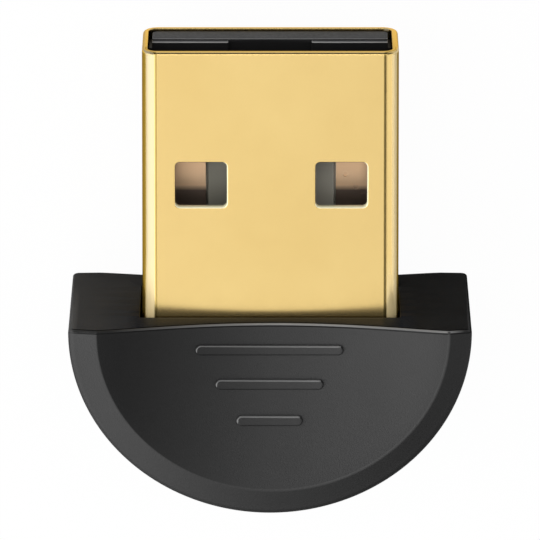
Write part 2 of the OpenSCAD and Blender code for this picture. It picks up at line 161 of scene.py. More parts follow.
def lofted(name, rings, caps=True):
    """Joins closed rings of equal length into a skin, with a face on each end."""
    n = len(rings[0])
    faces = [(i * n + k, i * n + (k + 1) % n, (i + 1) * n + (k + 1) % n, (i + 1) * n + k)
             for i in range(len(rings) - 1) for k in range(n)]
    if caps:
        faces += [tuple(range(n)), tuple(range((len(rings) - 1) * n, len(rings) * n))]
    return mesh_object(name, [p for ring in rings for p in ring], faces)


def bar(name, w, t, r, y0, y1, steps=12):
    return lofted(name, [[(x, y, z) for x, z in rounded(w, t, r, steps)] for y in (y0, y1)])


# The housing
def dish_depth(s, deep):
    return deep * (1 - s * s) ** DISH_POWER if s < 1 else 0


def dish_z(x, y):
    return FRONT_T - dish_depth(math.hypot((x - RIDGE_X) / FRONT_RIDGE_W, (y + SHOULDER_R) / RIDGE_L), DISH_H)


def half_section(high, deep, drop, ridge_w, aside):
    """Half axes, height and sideways place of each ring, from the middle of a dish out to the
    side wall."""
    half = []
    dish_n, edge_n = 44, 8
    for k in range(dish_n + 1):
        s = math.sin(math.pi / 2 * k / dish_n)
        half.append((ridge_w * s, RIDGE_L * s, high - dish_depth(s, deep), aside))
    for share in (0.04, 0.2, 0.5, 0.8):
        half.append((ridge_w + (HALF_W - EDGE_R - ridge_w) * share, RIDGE_L + (BAND_W - EDGE_R) * share,
                     high - drop * share, aside * (1 - share)))
    for k in range(edge_n + 1):
        a = math.pi / 2 * k / edge_n
        out, down = EDGE_R * (1 - math.sin(a)), EDGE_R * (1 - math.cos(a))
        half.append((HALF_W - out, HALF_L - out, high - drop - down, 0.0))
    return half


def housing_section():
    """The rings from the front dish over the side wall to the rear dish, with the shoulder's
    edge radius that each of them ends in."""
    front = half_section(FRONT_T, DISH_H, BAND_DROP, FRONT_RIDGE_W, RIDGE_X)
    back = half_section(BACK_T, BACK_DISH, BACK_DROP, RIDGE_W, 0.0)
    section = [(*p, SHOULDER_R) for p in front]
    for z in range(3, -4, -1):
        section.append((HALF_W, HALF_L, z, 0.0, BACK_R + (SHOULDER_R - BACK_R) * (z + 3) / 6))
    return section + [(x, y, -z, aside, BACK_R) for x, y, z, aside in reversed(back)]


def housing_body():
    section = housing_section()
    m, turns, rim_n = len(section), 160, 7
    points, faces = [], []
    for j in range(turns + 1):
        a = math.pi * j / turns
        points += [(x * math.cos(a) + aside, -y * math.sin(a) - r, z) for x, y, z, aside, r in section]
    for j in range(turns):
        for k in range(m - 1):
            quad = [j * m + k, j * m + k + 1, (j + 1) * m + k + 1, (j + 1) * m + k]
            if k == 0:
                quad = quad[1:]
                quad[-1] = j * m
            faces.append(tuple(quad))
    loop = list(range(m)) + [turns * m + k for k in range(m - 2, 0, -1)]
    flat = [(points[i][0], points[i][2]) for i in loop]
    radii = [section[i % m][4] for i in loop]
    n = len(flat)
    rings = [loop]
    for f in range(1, rim_n + 1):
        a = math.pi / 2 * f / rim_n
        ring = []
        for i in range(n):
            dx, dz = flat[(i + 1) % n][0] - flat[i - 1][0], flat[(i + 1) % n][1] - flat[i - 1][1]
            size = math.hypot(dx, dz)
            inset = radii[i] * (1 - math.cos(a))
            ring.append(len(points))
            points.append((flat[i][0] + dz / size * inset, -radii[i] * (1 - math.sin(a)),
                           flat[i][1] - dx / size * inset))
        rings.append(ring)
    for low, high in zip(rings, rings[1:]):
        faces += [(low[i], low[(i + 1) % n], high[(i + 1) % n], high[i]) for i in range(n)]
    return points, faces, rings[-1]


def rib_rings(length, middle):
    """Cross-sections of one raised bar that follows the dish, bows a little and ends round."""
    half, edge, root, runs, ends, arc_n = RIB_W / 2, 0.1, 0.3, 40, 10, 6
    end_x = length / 2 - half
    round_end = [(math.sin(math.radians(86) * k / ends) * half, math.cos(math.radians(86) * k / ends) * half)
                 for k in range(ends + 1)]
    stations = [(-end_x - p[0], p[1]) for p in reversed(round_end[1:])]
    stations += [(end_x * (2 * k / runs - 1), half) for k in range(runs + 1)]
    stations += [(end_x + p[0], p[1]) for p in round_end[1:]]
    rings = []
    rise = dish_z(length / 2, middle)
    for x, w in stations:
        y = middle - RIB_BOW * (rise - dish_z(x, middle))
        r, d = min(edge, w), min(edge, length / 2 - abs(x))
        top = RIB_H - edge + math.sqrt(edge ** 2 - (edge - d) ** 2)
        arc = [(r * (1 - math.cos(math.pi / 2 * k / arc_n)), r * math.sin(math.pi / 2 * k / arc_n))
               for k in range(arc_n + 1)]
        side = [(-w, -root)] + [(p[0] - w, top - r + p[1]) for p in arc]
        profile = side + [(-p[0], p[1]) for p in reversed(side)]
        rings.append([(x + RIB_X, y + p[0], dish_z(x + RIB_X, y + p[0]) + p[1]) for p in profile])
    return rings


def pocket_end(x):
    """Where the pocket ends, measured from the shoulder, at a distance x from the middle."""
    w, l = HALF_W - END_WALL, HALF_L - END_WALL
    return -SHOULDER_R - l * math.sqrt(max(0.0, 1 - (x / w) ** 2))


def build_housing():
    points, faces, rim = housing_body()
    lip = 0.05
    slot = rounded(PLUG_W + 2 * SLOT_GAP, PLUG_T + 2 * SLOT_GAP, SLOT_R, 8, 30)
    rings = []
    for out, y in ((lip, 0.0), (lip * 0.3, -lip * 0.3), (0.0, -lip), (0.0, -4.0), (0.0, None)):
        scale = (1 + out / (PLUG_W / 2), 1 + out / (PLUG_T / 2))
        rings.append([(x * scale[0], pocket_end(x) if y is None else y, z * scale[1]) for x, z in slot])
    start = len(points)
    for ring in rings:
        points += ring
    n = len(slot)
    for i in range(len(rings) - 1):
        faces += [(start + i * n + k, start + i * n + (k + 1) % n,
                   start + (i + 1) * n + (k + 1) % n, start + (i + 1) * n + k) for k in range(n)]
    mesh = bpy.data.meshes.new("housing_moulding")
    mesh.from_pydata([(x * MM, y * MM, z * MM) for x, y, z in points], [], faces)
    bm = bmesh.new()
    bm.from_mesh(mesh)
    bm.verts.ensure_lookup_table()
    outer, inner = [bm.verts[i] for i in rim], [bm.verts[start + k] for k in range(n)]
    edges = [bm.edges.get((loop[i - 1], loop[i])) for loop in (outer, inner) for i in range(len(loop))]
    bmesh.ops.triangle_fill(bm, use_beauty=True, use_dissolve=False, edges=edges, normal=(0, 1, 0))
    last = [bm.verts[start + (len(rings) - 1) * n + k] for k in range(n)]
    ends = sorted(last, key=lambda v: (round(v.co.x, 7), v.co.z))
    order = {}
    for v in ends:
        order.setdefault(round(v.co.x * 1e6), []).append(v)
    columns = [order[key] for key in sorted(order)]
    for a, b in zip(columns, columns[1:]):
        loop = [a[0], b[0]] + ([b[-1]] if len(b) > 1 else []) + ([a[-1]] if len(a) > 1 else [])
        if len(set(loop)) > 2:
            bm.faces.new(loop)
    bmesh.ops.remove_doubles(bm, verts=bm.verts, dist=1e-8)
    bmesh.ops.recalc_face_normals(bm, faces=bm.faces)
    bm.to_mesh(mesh)
    bm.free()
    body = new_object("housing_moulding", mesh)
    ribs = [lofted(f"rib_{k}", rib_rings(*rib)) for k, rib in enumerate(RIBS)]
    return join(body, ribs)


def join(piece, others):
    """Adds the meshes of the others to a piece."""
    bm = bmesh.new()
    bm.from_mesh(piece.data)
    for other in others:
        bm.from_mesh(other.data)
        bpy.data.objects.remove(other)
    bm.to_mesh(piece.data)
    bm.free()
    return piece


housing = build_housing()
smooth(housing, 40)
weight = housing.modifiers.new("weight", "WEIGHTED_NORMAL")
weight.keep_sharp = True
weight.weight = 70


# The folded shell of the plug
def box(name, low, high):
    corners = [(x, y, z) for x in (low[0], high[0]) for y in (low[1], high[1]) for z in (low[2], high[2])]
    faces = [(0, 1, 3, 2), (4, 6, 7, 5), (0, 4, 5, 1), (2, 3, 7, 6), (0, 2, 6, 4), (1, 5, 7, 3)]
    return mesh_object(name, corners, faces)


def window(name, side, face):
    y = PLUG_L - WINDOW_IN - WINDOW_L / 2
    rim = rounded(WINDOW_W, WINDOW_L, WINDOW_R, 10)
    top, flare = PLUG_T / 2, 0.07
    rings = []
    for z, out in ((top - 2 * SHEET_T, 0.0), (top - flare, 0.0), (top, flare), (top + SHEET_T, flare)):
        rings.append([(SHIFT_X + side * WINDOW_X + p[0] + (0.4 * out if p[0] > 0 else 0.0),
                       y + p[1] - (out if p[1] < 0 else 0.0), face * z) for p in rim])
    return lofted(name, rings)


def seam_cutters():
    """Narrow boxes along the line where the sheet's edges meet on the rear face."""
    places = [PLUG_L * 0.3, PLUG_L * 0.72]
    path = [(0.0, -PLUG_SUNK - 1)]
    for m in places:
        path += [(0.0, m - KEY_L / 2), (KEY_W, m - KEY_L / 2 - KEY_FLARE),
                 (KEY_W, m + KEY_L / 2 + KEY_FLARE), (0.0, m + KEY_L / 2)]
    path.append((0.0, PLUG_L + 1))
    cutters = []
    for k, (a, b) in enumerate(zip(path, path[1:])):
        d = Vector((b[0] - a[0], b[1] - a[1]))
        run, side = d.normalized() * SEAM_GAP / 2, Vector((-d.y, d.x)).normalized() * SEAM_GAP / 2
        a, b = Vector(a) - run, Vector(b) + run
        corners = [a - side, b - side, b + side, a + side]
        cutters.append(lofted(f"seam_{k}", [[(p.x, p.y, z) for p in corners] for z in (-3.3, -2.1)]))
    return cutters


def build_shell():
    stations = [(-PLUG_SUNK, 0.0), (PLUG_L - COIN, 0.0)]
    stations += [(PLUG_L - COIN * (1 - math.sin(a)), COIN * (1 - math.cos(a)))
                 for a in (math.pi / 8 * k for k in range(1, 4))]
    stations.append((PLUG_L, COIN))
    rings = [[(x * (1.007 - 0.01 * max(y, 0) / PLUG_L) + 0.02, y, z)
              for x, z in rounded(PLUG_W - 2 * i, PLUG_T - 2 * i, FOLD_R - i, 12)] for y, i in stations]
    shell = lofted("gilt_shell", rings)
    bore = bar("bore", PLUG_W - 2 * SHEET_T, PLUG_T - 2 * SHEET_T, FOLD_R - SHEET_T, -PLUG_SUNK - 1, PLUG_L + 1)
    windows = [window(f"window_{s}_{f}", s, f) for s in (-1, 1) for f in (-1, 1)]
    cut(shell, [bore] + windows)
    soften(shell, 0.07)
    cut(shell, seam_cutters())
    inner = PLUG_W / 2 - SHEET_T
    lugs = [box(f"lug_{s}",
                (min(s * inner, s * PLUG_W / 2), -PLUG_SUNK - LUG_L, LUG_Z - LUG_H / 2),
                (max(s * inner, s * PLUG_W / 2), -PLUG_SUNK + SHEET_T, LUG_Z + LUG_H / 2)) for s in (-1, 1)]
    return join(shell, lugs)


shell = build_shell()
finish_normals(shell, 80)


# The insulator, with a stepped end to its tongue
CORE_W, CORE_T, CORE_R = PLUG_W - 2 * SHEET_T - 0.06, PLUG_T - 2 * SHEET_T - 0.06, FOLD_R - SHEET_T
TONGUE_Z, TIP_Y, BLOCK_Y, BLOCK_BACK = -0.11, 12.8, 3.5, -2.3
CONTACT_T, CONTACT_UP, BEND_H, BEND_Y, BEND_L, CONTACT_TIP = 0.25, 0.05, 0.35, 5.5, 1.1, 12.0


def across(name, x, w, profile):
    """A side profile in Y and Z, run across X and centred on x."""
    return lofted(name, [[(at, y, z) for y, z in profile] for at in (x - w / 2, x + w / 2)])


def contact_line(drop):
    """The line under a contact from its bend back to its tail, moved down by a drop."""
    high = TONGUE_Z + CONTACT_UP - drop
    return [(BEND_Y - BEND_L * k / 8, high - BEND_H * (1 - math.cos(math.pi * k / 8)) / 2) for k in range(9)]


def build_insulator():
    inset, nose_l = 0.16, 0.35
    core = bar("insulator_moulding", CORE_W, CORE_T, CORE_R, BLOCK_BACK, TIP_Y)
    frame_cut = bar("frame_cut", CORE_W + 1, CORE_T + 1, CORE_R, TIP_Y - nose_l, TIP_Y + 1)
    cut(frame_cut, [bar("nose", CORE_W - 2 * inset, CORE_T - 2 * inset, CORE_R - inset, TIP_Y - nose_l - 1, TIP_Y + 2)])
    step, groove, set_back = -0.46, -0.4, 0.05
    cutters = [
        frame_cut,
        box("cavity", (-CORE_W, BLOCK_Y, TONGUE_Z), (CORE_W, TIP_Y + 2, CORE_T)),
        across("end_step", 0, 2 * CORE_W, [
            (TIP_Y - 2.6 * set_back, step), (TIP_Y + 1, step), (TIP_Y + 1, 0.5), (TIP_Y - 2 * set_back, 0.5),
            (TIP_Y - 2 * set_back, TONGUE_Z), (TIP_Y - set_back, TONGUE_Z - 0.04),
            (TIP_Y - set_back, groove), (TIP_Y - 2.6 * set_back, groove)]),
        box("notch", (-1.96, TIP_Y - 0.75, step), (1.96, TIP_Y + 1, 1)),
    ]
    for k, (middle, w) in enumerate(((3.8, 1.5), (1.0, 1.0), (-1.0, 1.0), (-3.8, 1.5))):
        low, high = contact_line(CONTACT_T), contact_line(0)
        over = [(CONTACT_TIP + 0.1, 1), (CONTACT_TIP + 0.1, low[0][1])] + low + [(BLOCK_Y, low[-1][1]), (BLOCK_Y, 1)]
        through = [(BLOCK_Y + 0.5, low[-1][1]), (BLOCK_BACK - 1, low[-1][1]),
                   (BLOCK_BACK - 1, high[-1][1]), (BLOCK_Y + 0.5, high[-1][1])]
        cutters.append(across(f"groove_{k}", middle + SHIFT_X, w + 0.2, over))
        cutters.append(across(f"through_{k}", middle + SHIFT_X, w, through))
    cut(core, cutters)
    soften(core, 0.02, 2)
    return core


insulator = build_insulator()


# Materials
def shader(name):
    material = bpy.data.materials.new(name)
    material.use_nodes = True
    return material, material.node_tree, material.node_tree.nodes["Principled BSDF"]


def node(tree, kind, inputs=None, **settings):
    made = tree.nodes.new(kind)
    for key, value in settings.items():
        setattr(made, key, value)
    for key, value in (inputs or {}).items():
        if isinstance(value, bpy.types.NodeSocket):
            tree.links.new(value, made.inputs[key])
        else:
            made.inputs[key].default_value = value
    return made


def place(tree, stretch=(1.0, 1.0, 1.0)):
    """Object coordinates in millimetres."""
    coordinates = node(tree, "ShaderNodeTexCoord")
    scale = [1000.0 * v for v in stretch]
    return node(tree, "ShaderNodeMapping", {"Vector": coordinates.outputs["Object"], "Scale": scale}).outputs[0]


def noise(tree, at, scale, detail=3.0, roughness=0.55):
    made = node(tree, "ShaderNodeTexNoise",
                {"Vector": at, "Scale": scale, "Detail": detail, "Roughness": roughness})
    return made.outputs["Fac"]


def ramp(tree, value, low, high, start=0.0, end=1.0):
    """Maps a value from one range to another."""
    return node(tree, "ShaderNodeMapRange", {"Value": value, "From Min": start, "From Max": end,
                                             "To Min": low, "To Max": high}).outputs["Result"]


def blend(tree, share, a, b, kind="MIX"):
    made = node(tree, "ShaderNodeMix", data_type="RGBA", blend_type=kind)
    for index, value in ((0, share), (6, a), (7, b)):
        if isinstance(value, bpy.types.NodeSocket):
            tree.links.new(value, made.inputs[index])
        else:
            made.inputs[index].default_value = value if index == 0 else (*value, 1.0)
    return made.outputs[2]


def math_node(tree, kind, a, b):
    return node(tree, "ShaderNodeMath", {0: a, 1: b}, operation=kind).outputs[0]


def edge_mask(tree, radius):
    """Near 1 along edges, from how far a rounded normal turns away from the face's own."""
    round_normal = node(tree, "ShaderNodeBevel", {"Radius": radius * MM}, samples=6).outputs[0]
    own = node(tree, "ShaderNodeNewGeometry").outputs["Normal"]
    dot = node(tree, "ShaderNodeVectorMath", {0: round_normal, 1: own}, operation="DOT_PRODUCT").outputs["Value"]
    return ramp(tree, dot, 1.0, 0.0, 0.8, 0.995)


def bumped(tree, bsdf, height, strength, distance):
    made = node(tree, "ShaderNodeBump", {"Height": height, "Strength": strength, "Distance": distance * MM})
    tree.links.new(made.outputs[0], bsdf.inputs["Normal"])


def parts_of(tree, vector):
    return node(tree, "ShaderNodeSeparateXYZ", {0: vector}).outputs


def band(tree, value, start, full, fade, end):
    """1 between full and fade, 0 below start and above end."""
    return math_node(tree, "MULTIPLY", ramp(tree, value, 0.0, 1.0, start, full), ramp(tree, value, 1.0, 0.0, fade, end))


def product(tree, *values):
    made = values[0]
    for value in values[1:]:
        made = math_node(tree, "MULTIPLY", made, value)
    return made


def own_normal(tree):
    return parts_of(tree, node(tree, "ShaderNodeTexCoord").outputs["Normal"])


def plastic(name, colour, pale, roughness, grain, depth, level=0.5):
    """A moulded plastic with a fine even grain and paler edges, a painted edge highlight."""
    material, tree, bsdf = shader(name)
    at = place(tree)
    broad = noise(tree, at, 0.35, 2.0)
    fine = noise(tree, at, grain, 2.0, 0.6)
    pores = node(tree, "ShaderNodeTexVoronoi", {"Vector": at, "Scale": grain * 0.7}).outputs["Distance"]
    base = blend(tree, ramp(tree, broad, 0.0, 1.0, 0.3, 0.7), colour, pale)
    speckled = blend(tree, ramp(tree, fine, 0.0, 0.35, 0.45, 0.75), base, pale)
    # painted highlight: the rounded edges are blended toward a paler tone
    edge_highlight_tone = [min(1.0, v * 2.2) for v in pale]
    edge_highlighted = blend(tree, math_node(tree, "MULTIPLY", edge_mask(tree, 0.12), 0.35), speckled, edge_highlight_tone)
    tree.links.new(edge_highlighted, bsdf.inputs["Base Color"])
    rough = math_node(tree, "ADD", ramp(tree, fine, -0.05, 0.05, 0.3, 0.7), ramp(tree, broad, roughness - 0.03,
                                                                             roughness + 0.03, 0.3, 0.7))
    tree.links.new(rough, bsdf.inputs["Roughness"])
    bsdf.inputs["Specular IOR Level"].default_value = level
    height = math_node(tree, "ADD", fine, math_node(tree, "MULTIPLY", pores, 0.5))
    bumped(tree, bsdf, height, 0.5, depth)
    return material


def paint_housing_light(material, level):
    """Paints light and shade onto the housing: a painted highlight between two painted dark lines round
    the shoulder's front, a painted highlight along the right-hand ridge, and painted light and shade across its faces."""
    tree = material.node_tree
    bsdf = tree.nodes["Principled BSDF"]
    turned, where = own_normal(tree), parts_of(tree, place(tree))
    edge = ramp(tree, where[1], 0.0, 1.0, -SHOULDER_R - 0.05, -SHOULDER_R)
    at_edge = product(tree, edge, ramp(tree, turned[2], 0.0, 1.0, 0.04, 0.12))
    # painted highlight: the left-facing round of the shoulder's front edge is paler
    left = product(tree, edge, ramp(tree, math_node(tree, "MULTIPLY", turned[0], -1.0), 0.0, 1.0, 0.1, 0.35),
                   band(tree, turned[1], 0.2, 0.4, 0.9, 0.99))
    # painted highlight: a pale line along the round of the shoulder's front edge
    strip = product(tree, at_edge, band(tree, turned[1], 0.5, 0.58, 0.86, 0.92))
    # painted shade: dark lines on either side of that pale line
    painted_dark_lines = product(tree, at_edge, math_node(tree, "ADD", math_node(tree, "MULTIPLY", band(tree, turned[1], 0.2, 0.28, 0.46, 0.54), 0.7),
                                            band(tree, turned[1], 0.89, 0.94, 0.985, 0.998)))
    across_ridge = math_node(tree, "DIVIDE", math_node(tree, "SUBTRACT", where[0], RIDGE_X), FRONT_RIDGE_W)
    along_ridge = math_node(tree, "DIVIDE", math_node(tree, "ADD", where[1], SHOULDER_R), RIDGE_L)
    reach = math_node(tree, "SQRT", math_node(tree, "ADD", product(tree, across_ridge, across_ridge),
                                              product(tree, along_ridge, along_ridge)), 0.0)
    # painted highlight: a pale line along the right-hand half of the dish's ridge
    ridge = product(tree, band(tree, reach, 0.988, 0.995, 1.002, 1.01), ramp(tree, turned[2], 0.0, 1.0, 0.5, 0.7),
                    ramp(tree, where[0], 0.0, 1.0, -3.0, 3.0))
    base = bsdf.inputs["Base Color"].links[0].from_socket
    # painted light and shade: the dish is darker on the left and lighter on the right, the band round it lighter on the
    # left and darker on the right
    across_face = ramp(tree, where[0], 0.0, 1.0, -6.0, 7.0)
    dish_tone = blend(tree, across_face, (0.002, 0.002, 0.002), (0.024, 0.024, 0.024))
    band_tone = blend(tree, across_face, (0.03, 0.03, 0.03), (0.007, 0.007, 0.007))
    in_dish = ramp(tree, reach, 1.0, 0.0, 0.992, 0.998)
    face = product(tree, ramp(tree, turned[2], 0.0, 1.0, 0.5, 0.6), 0.85)
    base = blend(tree, face, base, blend(tree, in_dish, band_tone, dish_tone))
    shoulder_side = ramp(tree, where[1], 0.0, 1.0, -0.2, -0.1)
    shoulder = product(tree, ramp(tree, where[1], 0.0, 1.0, -0.03, -0.01), ramp(tree, turned[1], 0.0, 1.0, 0.95, 0.99))
    # painted light: the shoulder's top face is lighter on the left than on the right
    base = blend(tree, shoulder, base, blend(tree, ramp(tree, where[0], 0.0, 1.0, -9.0, 9.0), (0.04, 0.04, 0.041),
                                             (0.003, 0.003, 0.003)))
    on_rib = product(tree, band(tree, where[1], -5.2, -5.1, -0.8, -0.7), ramp(tree, turned[2], 0.0, 1.0, 0.1, 0.2),
                     band(tree, where[0], -3.8, -3.7, 3.6, 3.7))
    lit = math_node(tree, "SUBTRACT", math_node(tree, "MULTIPLY", turned[1], 0.7),
                    math_node(tree, "MULTIPLY", turned[0], 0.7))
    # painted highlight: the rounds of the ribs that face up and left are paler
    base = blend(tree, product(tree, on_rib, band(tree, lit, 0.24, 0.36, 0.8, 0.95)), base, (0.2, 0.2, 0.2))
    # painted shade: the undersides of the ribs, whose specular level is lowered below
    under = product(tree, on_rib, ramp(tree, lit, 1.0, 0.0, -0.4, -0.28))
    # painted highlight: a paler band along the left-hand edge of the shoulder's top face
    rim = product(tree, shoulder_side, band(tree, where[0], -9.45, -9.3, -9.2, -9.0), ramp(tree, where[2], 0.0, 1.0, -2.5, 1.0))
    base = blend(tree, rim, base, (0.1, 0.1, 0.1))
    strip_tone = blend(tree, band(tree, where[0], -7.5, 0.5, 8.2, 9.1), (0.02, 0.02, 0.02), (0.3, 0.3, 0.3))
    # painted shade: a black line along the right-hand edge of the shoulder
    right_edge_shade = product(tree, shoulder_side, ramp(tree, where[0], 0.0, 1.0, 9.3, 9.38), ramp(tree, turned[2], 1.0, 0.0, 0.4, 0.6))
    base = blend(tree, right_edge_shade, base, (0.0, 0.0, 0.0))
    # painted shade: the shoulder beside the plug is darker and bluer, as if it reflected the plug's shadow
    plug_shade_zone = product(tree, band(tree, where[0], -8.0, -6.2, 6.2, 7.0), ramp(tree, where[2], 0.0, 1.0, -1.5, 1.5))
    base = blend(tree, product(tree, shoulder, plug_shade_zone), base, (0.008, 0.012, 0.022))
    base = blend(tree, strip, base, strip_tone)
    base = blend(tree, painted_dark_lines, base, (0.0, 0.0, 0.0))
    base = blend(tree, ridge, base, (0.04, 0.04, 0.04))
    base = blend(tree, left, base, (0.06, 0.06, 0.06))
    tree.links.new(base, bsdf.inputs["Base Color"])
    # painted shade through the specular level: lowered on the dark lines, over the shoulder (most on its right and
    # beside the plug), along the right-hand edge, on the left of the dish, on the band's right and under the ribs
    dimmed = math_node(tree, "MAXIMUM", ramp(tree, where[0], 0.66, 0.84, -6.0, 6.0), math_node(tree, "MULTIPLY", plug_shade_zone, 0.93))
    painted_specular_shade = math_node(tree, "MAXIMUM", painted_dark_lines, product(tree, shoulder, dimmed))
    painted_specular_shade = math_node(tree, "MAXIMUM", painted_specular_shade, right_edge_shade)
    painted_specular_shade = math_node(tree, "MAXIMUM", painted_specular_shade, product(tree, face, in_dish, ramp(tree, where[0], 0.62, 0.08, -7.0, 0.0)))
    outside = product(tree, face, ramp(tree, in_dish, 1.0, 0.0), ramp(tree, where[0], 0.04, 0.42, -6.0, 0.0))
    painted_specular_shade = math_node(tree, "MAXIMUM", painted_specular_shade, outside)
    painted_specular_shade = math_node(tree, "MAXIMUM", painted_specular_shade, math_node(tree, "MULTIPLY", under, 0.8))
    tree.links.new(ramp(tree, painted_specular_shade, level, 0.02), bsdf.inputs["Specular IOR Level"])


def paint_shell_light(material):
    """Paints light and shade onto the sheet: painted dark lines where the folds start, a paler left-hand fold as a
    painted highlight, deeper gold sides as painted shade, painted highlights on the folds and window edges, a painted
    dark line on the mouth's edge, and a dark inside that is partly less plated metal and partly painted shade.
    """
    tree = material.node_tree
    bsdf = tree.nodes["Principled BSDF"]
    turned, where = own_normal(tree), parts_of(tree, place(tree))
    side = math_node(tree, "ABSOLUTE", turned[0], 0.0)
    out = math_node(tree, "ADD", product(tree, turned[2], where[2]),
                    product(tree, turned[0], where[0], ramp(tree, math_node(tree, "ABSOLUTE", where[0], 0.0),
                                                            0.0, 1.0, 5.3, 5.5)))
    # the inside of the sheet is a dark gold: partly less plated metal, partly painted shade
    inside = product(tree, ramp(tree, out, 1.0, 0.0, -0.3, -0.05),
                     ramp(tree, where[1], 1.0, 0.0, PLUG_L - 0.14, PLUG_L - 0.1))
    front = ramp(tree, where[2], 0.0, 1.0, 1.2, 1.3)
    on_fold = ramp(tree, math_node(tree, "ABSOLUTE", where[0], 0.0), 0.0, 1.0, PLUG_W / 2 - FOLD_R - 0.05,
                   PLUG_W / 2 - FOLD_R)
    # painted shade: a dark line along the start of each fold on the front face
    fold_line_shade = product(tree, band(tree, side, 0.03, 0.07, 0.15, 0.21), on_fold, front)
    # painted highlight: the left-hand fold is a paler, greyer gold
    pale = product(tree, band(tree, math_node(tree, "MULTIPLY", turned[0], -1.0), 0.19, 0.25, 0.7, 0.78), on_fold)
    left_side = math_node(tree, "MULTIPLY", turned[0], -1.0)
    # painted shade: the faces turned most to the sides are a deeper, darker gold
    deep = product(tree, math_node(tree, "MAXIMUM", ramp(tree, left_side, 0.0, 1.0, 0.72, 0.8),
                                   ramp(tree, turned[0], 0.0, 1.0, 0.86, 0.93)), on_fold)
    # painted highlight: the folds next to the housing and the right-hand fold are a bright, less metallic gold
    foot = product(tree, band(tree, side, 0.21, 0.26, 0.75, 0.85), ramp(tree, where[1], 1.0, 0.0, 0.3, 3.0))
    fold_highlight = product(tree, math_node(tree, "MAXIMUM", foot, band(tree, turned[0], 0.5, 0.7, 0.84, 0.9)), on_fold, front)
    at_window = product(tree, band(tree, where[1], PLUG_L - WINDOW_IN - WINDOW_L - 0.3, PLUG_L - WINDOW_IN - WINDOW_L - 0.2,
                                   PLUG_L - WINDOW_IN + 0.2, PLUG_L - WINDOW_IN + 0.3), front,
                        ramp(tree, turned[2], 1.0, 0.0, 0.93, 0.985), ramp(tree, on_fold, 1.0, 0.0))
    # painted highlight: the lower and right-hand edges of each window are a pale, hardly metallic cream
    window_highlight = product(tree, at_window, math_node(tree, "MAXIMUM", ramp(tree, turned[1], 0.0, 1.0, 0.1, 0.3),
                                               ramp(tree, turned[0], 1.0, 0.0, -0.3, -0.1)))
    mouth = ramp(tree, where[1], 0.0, 1.0, PLUG_L - COIN - 0.05, PLUG_L - COIN)
    # painted shade: a darker line on the round of the mouth's edge
    mouth_edge_shade = product(tree, mouth, band(tree, turned[1], 0.05, 0.09, 0.16, 0.24))
    end_face = product(tree, mouth, ramp(tree, turned[1], 0.0, 1.0, 0.85, 0.95))
    base = bsdf.inputs["Base Color"].links[0].from_socket
    base = blend(tree, pale, base, (0.62, 0.52, 0.32))
    base = blend(tree, deep, base, (0.85, 0.57, 0.1))
    base = blend(tree, fold_highlight, base, (1.0, 0.8, 0.43))
    base = blend(tree, end_face, base, (0.97, 0.7, 0.28))
    base = blend(tree, mouth_edge_shade, base, (0.8, 0.58, 0.22))
    base = blend(tree, fold_line_shade, base, (0.4, 0.29, 0.09))
    base = blend(tree, inside, base, (0.16, 0.13, 0.07))
    base = blend(tree, window_highlight, base, (1.0, 0.95, 0.66))
    # the painted highlights are made less metallic
    highlight_mask = math_node(tree, "MAXIMUM", window_highlight, math_node(tree, "MULTIPLY", fold_highlight, 0.85))
    tree.links.new(ramp(tree, highlight_mask, 1.0, 0.15), bsdf.inputs["Metallic"])
    tree.links.new(base, bsdf.inputs["Base Color"])
    rough = bsdf.inputs["Roughness"].links[0].from_socket
    tree.links.new(math_node(tree, "ADD", rough, product(tree, pale, 0.18)), bsdf.inputs["Roughness"])
    bsdf.inputs["Specular Tint"].default_value = (0.9, 0.66, 0.3, 1.0)


def shade_tongue(material):
    """Makes the insulator darker on its left half, near black toward the tongue's end as painted shade, and pale on the
    lip at its end as a painted highlight.
    """
    tree = material.node_tree
    bsdf = tree.nodes["Principled BSDF"]
    where = parts_of(tree, place(tree))
    along = where[1]
    base = bsdf.inputs["Base Color"].links[0].from_socket
    base = blend(tree, ramp(tree, where[0], 0.8, 0.0, -0.5, 0.5), base, (0.3, 0.29, 0.24))
    # painted shade: near black toward the tongue's end, from 11 to 12.2 mm along
    base = blend(tree, ramp(tree, along, 0.0, 1.0, 11.0, 12.2), base, (0.008, 0.008, 0.009))
    # painted highlight: a pale line on the lip at the tongue's end
    lip = product(tree, ramp(tree, along, 0.0, 1.0, 12.5, 12.6), band(tree, own_normal(tree)[1], 0.3, 0.4, 0.9, 0.97))
    base = blend(tree, lip, base, (0.45, 0.45, 0.45))
    bsdf.inputs["Specular IOR Level"].default_value = 0.25
    tree.links.new(base, bsdf.inputs["Base Color"])


def shade_contact(material):
    """A contact is brighter and less metallic toward its bend as painted light, dark from the bend back to its tail as
    painted shade, and paler along its edges as a painted highlight.
    """
    tree = material.node_tree
    bsdf = tree.nodes["Principled BSDF"]
    turned, along = own_normal(tree), parts_of(tree, place(tree))[1]
    # painted shade: dark from the bend back to the tail
    shade_behind_bend = ramp(tree, along, 1.0, 0.0, 5.5, 5.75)
    side = math_node(tree, "ABSOLUTE", turned[0], 0.0)
    # painted highlight: paler along the contact's rounded edges
    edge = product(tree, band(tree, side, 0.15, 0.3, 0.85, 0.95), ramp(tree, shade_behind_bend, 1.0, 0.0))
    base = bsdf.inputs["Base Color"].links[0].from_socket
    # painted light: brighter and less metallic toward the bend
    lit_toward_bend = ramp(tree, along, 1.0, 0.0, 5.8, 7.5)
    base = blend(tree, lit_toward_bend, base, (1.0, 0.68, 0.42))
    base = blend(tree, edge, base, (1.0, 0.8, 0.62))
    base = blend(tree, shade_behind_bend, base, (0.2, 0.15, 0.12))
    tree.links.new(ramp(tree, lit_toward_bend, 1.0, 0.3), bsdf.inputs["Metallic"])
    tree.links.new(base, bsdf.inputs["Base Color"])


